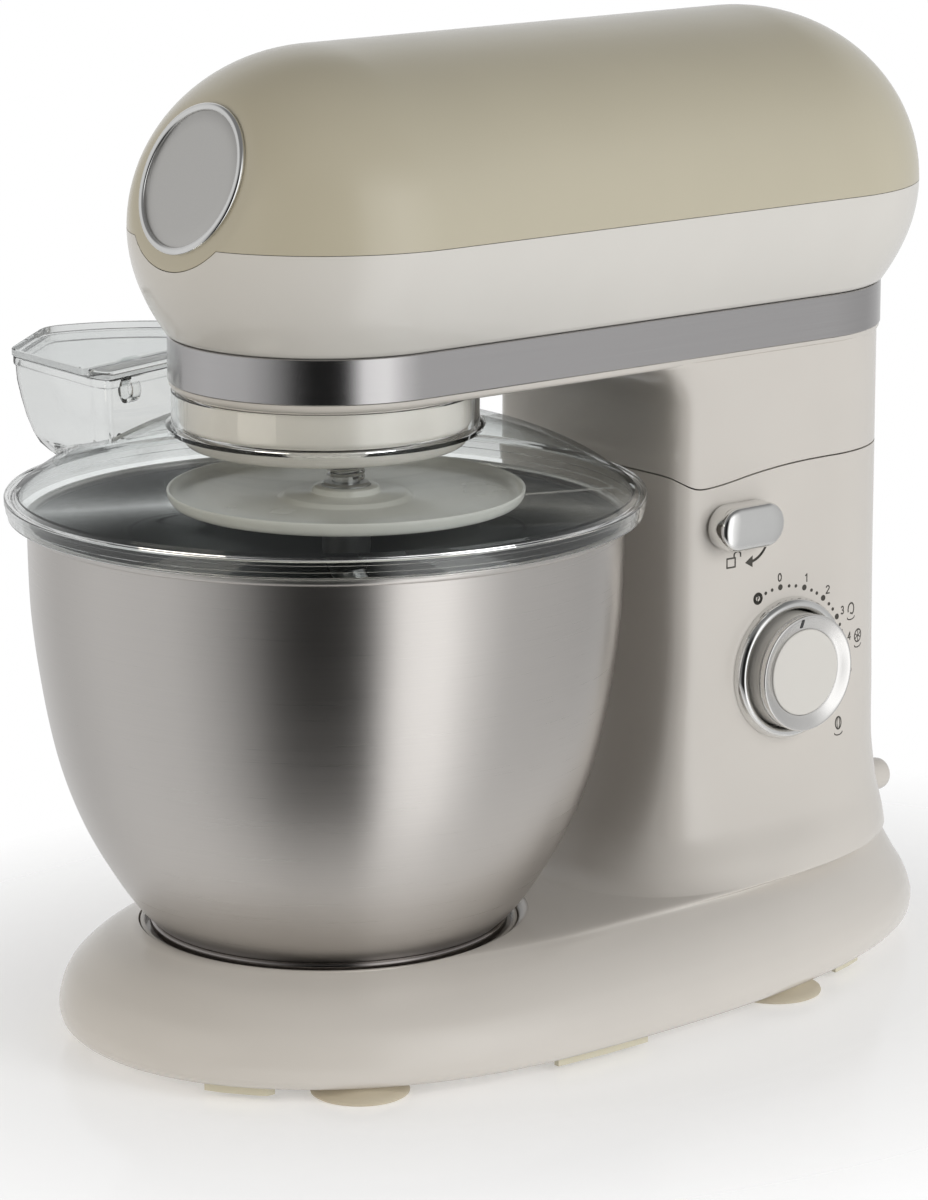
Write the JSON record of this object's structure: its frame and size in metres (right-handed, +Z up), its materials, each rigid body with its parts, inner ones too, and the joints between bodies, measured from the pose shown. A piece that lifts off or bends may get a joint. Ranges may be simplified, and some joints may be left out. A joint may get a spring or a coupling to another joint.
{
  "type": "tilt-head stand mixer",
  "caption": "Tilt-head stand mixer with steel bowl, clear splash guard with filling chute, dough hook and side speed dial.",
  "frame": {"origin": "point on the worktop plane straight under the middle of the bowl", "axes": "+Z up, -Y towards the nose of the head, +X towards the side with the speed dial"},
  "size_m": [0.2659, 0.412, 0.3768],
  "materials": {
    "cream_gloss": "glossy cream",
    "cream_light": "glossy off-white",
    "champagne_gloss": "glossy champagne beige",
    "cream_under": "satin cream",
    "foot_rubber": "matte taupe",
    "brushed_band": "brushed along its length",
    "bowl_steel": "brushed around the axis",
    "foot_steel": "polished dark",
    "chrome_trim": "polished",
    "satin_silver": "satin",
    "clear_plastic": "clear",
    "guard_white": "translucent white",
    "hook_cast": "smooth cast",
    "black_plastic": "matte",
    "grey_plastic": "matte",
    "board_green": "solder mask",
    "machined_steel": "machined",
    "die_cast": "as cast",
    "laminations": "stacked sheet",
    "copper": "enamelled wire",
    "bronze": "sintered",
    "belt_rubber": "ribbed",
    "gear_nylon": "moulded"
  },
  "bodies": {
    "base": {"base_housing": "cream_gloss", "bottom_cover": "cream_under", "suction_feet": "foot_rubber", "bowl_seat": "cream_gloss", "cord_gland": "cream_under", "dial_bezel": "chrome_trim", "speed_switch": "black_plastic", "control_board": "board_green", "column_top_cover": "grey_plastic", "hinge_brackets": "machined_steel", "hinge_pin": "machined_steel", "latch_guide": "black_plastic", "base_screws": "machined_steel"},
    "head": {"arm_housing": "cream_gloss", "head_lower_shell": "cream_light", "head_top_cover": "champagne_gloss", "trim_band": "brushed_band", "badge_ring": "chrome_trim", "badge_disc": "satin_silver", "neck_cover": "grey_plastic", "hinge_arms": "machined_steel", "latch_catch": "machined_steel", "drive_chassis": "die_cast", "ring_gear": "machined_steel", "hub_housing": "cream_gloss", "shaft_bushings": "bronze", "motor_stator": "laminations", "field_coils": "copper", "motor_brackets": "die_cast", "brush_holders": "black_plastic", "drive_belt": "belt_rubber", "head_screws": "machined_steel"},
    "rotor": {"motor_shaft": "machined_steel", "armature": "laminations", "commutator": "copper", "cooling_fan": "black_plastic", "motor_pulley": "machined_steel"},
    "countershaft_assembly": {"countershaft": "machined_steel", "belt_pulley": "die_cast"},
    "carrier": {"main_shaft": "machined_steel", "main_gear": "gear_nylon", "planet_carrier": "cream_gloss"},
    "planet": {"planet_gear": "machined_steel", "output_shaft": "machined_steel", "coupling_spring": "machined_steel"},
    "tool": {"dough_hook": "hook_cast", "dough_guard": "guard_white"},
    "guard": {"splash_guard": "clear_plastic"},
    "flap": {"chute_flap": "clear_plastic"},
    "knob": {"speed_knob": "chrome_trim", "knob_cap": "cream_gloss"},
    "lever": {"release_lever": "chrome_trim"},
    "bolt": {"latch_bolt": "machined_steel"},
    "mixing_bowl": {"bowl": "bowl_steel", "bowl_foot": "foot_steel"}
  },
  "joints": [
    {"name": "head_tilt", "type": "hinge", "parent": "base", "child": "head", "pos_m": [0, 0.246, 0.19], "axis": [-1, 0, 0], "range_deg": [0, 35]},
    {"name": "carrier_spin", "type": "hinge", "parent": "head", "child": "carrier", "pos_m": [0, 0, 0.23], "axis": [0, 0, 1], "continuous": true},
    {"name": "planet_spin", "type": "hinge", "parent": "carrier", "child": "planet", "pos_m": [0.0214, -0.00695, 0.23], "axis": [0, 0, 1], "continuous": true},
    {"name": "countershaft_spin", "type": "hinge", "parent": "head", "child": "countershaft_assembly", "pos_m": [0, 0.054, 0.29], "axis": [0, 0, 1], "continuous": true},
    {"name": "motor_spin", "type": "hinge", "parent": "head", "child": "rotor", "pos_m": [0, 0.15, 0.29], "axis": [0, 0, 1], "continuous": true},
    {"name": "tool_push", "type": "slide", "parent": "planet", "child": "tool", "axis": [0, 0, 1], "range_m": [0, 0.004], "stiffness_N_per_m": 500, "springref_m": -0.012, "deforming": ["coupling_spring"]},
    {"name": "guard_twist", "type": "hinge", "parent": "head", "child": "guard", "pos_m": [0, 0, 0.24], "axis": [0, 0, 1], "range_deg": [0, 20]},
    {"name": "flap_hinge", "type": "hinge", "parent": "guard", "child": "flap", "pos_m": [-0.07206, -0.01931, 0.254], "axis": [-0.2588, 0.9659, 0], "range_deg": [0, 80]},
    {"name": "knob_turn", "type": "hinge", "parent": "base", "child": "knob", "pos_m": [0.06, 0.1825, 0.1235], "axis": [-1, 0, 0], "range_deg": [-22, 122]},
    {"name": "lever_turn", "type": "hinge", "parent": "base", "child": "lever", "pos_m": [0.06, 0.1587, 0.185], "axis": [-1, 0, 0], "range_deg": [0, 40], "stiffness_Nm_per_rad": 0.3, "springref_deg": -11.46},
    {"name": "latch_slide", "type": "slide", "parent": "base", "child": "bolt", "axis": [0, 1, 0], "range_m": [0, 0.005]},
    {"name": "bowl_twist", "type": "hinge", "parent": "base", "child": "mixing_bowl", "pos_m": [0, 0, 0.041], "axis": [0, 0, 1], "range_deg": [0, 15]}
  ],
  "couplings": [
    {"joint": "planet_spin", "follows": "carrier_spin", "ratio": -3.1429},
    {"joint": "countershaft_spin", "follows": "carrier_spin", "ratio": -5},
    {"joint": "motor_spin", "follows": "carrier_spin", "ratio": -20},
    {"joint": "latch_slide", "follows": "lever_turn", "m_per_rad": 0.007}
  ]
}
